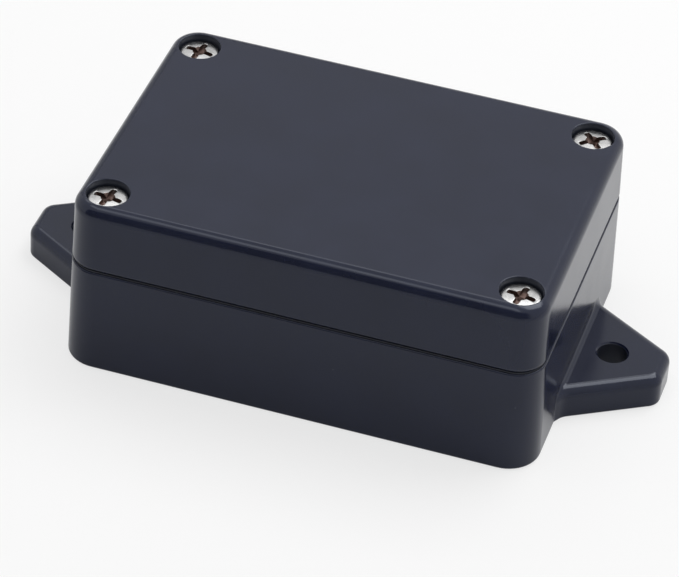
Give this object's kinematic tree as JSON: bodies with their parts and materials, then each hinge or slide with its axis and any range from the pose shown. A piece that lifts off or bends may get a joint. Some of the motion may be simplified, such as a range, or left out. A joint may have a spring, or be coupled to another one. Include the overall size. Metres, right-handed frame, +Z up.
{
  "type": "plastic project box",
  "caption": "Small sealed electronics enclosure: a moulded base with two triangular mounting ears, and a lid held by sunk corner screws.",
  "frame": {"origin": "centre of the flat underside of the base", "axes": "+X along the box towards the right-hand mounting ear, +Y across it towards the back, +Z up through the lid"},
  "size_m": [0.115, 0.059, 0.033],
  "materials": {
    "box_plastic": "semi-gloss blue-black moulded ABS",
    "gasket_rubber": "matt black silicone rubber",
    "insert_brass": "turned brass",
    "screw_steel": "bright plated steel"
  },
  "bodies": {
    "base": {"base": "box_plastic", "gasket": "gasket_rubber", "insert_back_right": "insert_brass", "insert_back_left": "insert_brass", "insert_front_left": "insert_brass", "insert_front_right": "insert_brass"},
    "lid": {"lid": "box_plastic"},
    "screw_back_right": {"screw_back_right": "screw_steel"},
    "screw_back_left": {"screw_back_left": "screw_steel"},
    "screw_front_left": {"screw_front_left": "screw_steel"},
    "screw_front_right": {"screw_front_right": "screw_steel"}
  },
  "joints": [
    {"name": "lid_lift", "type": "slide", "parent": "base", "child": "lid", "axis": [0, 0, 1], "range_m": [0, 0.025]},
    {"name": "screw_back_right_out", "type": "slide", "parent": "lid", "child": "screw_back_right", "axis": [0, 0, 1], "range_m": [0, 0.02]},
    {"name": "screw_back_left_out", "type": "slide", "parent": "lid", "child": "screw_back_left", "axis": [0, 0, 1], "range_m": [0, 0.02]},
    {"name": "screw_front_left_out", "type": "slide", "parent": "lid", "child": "screw_front_left", "axis": [0, 0, 1], "range_m": [0, 0.02]},
    {"name": "screw_front_right_out", "type": "slide", "parent": "lid", "child": "screw_front_right", "axis": [0, 0, 1], "range_m": [0, 0.02]}
  ]
}
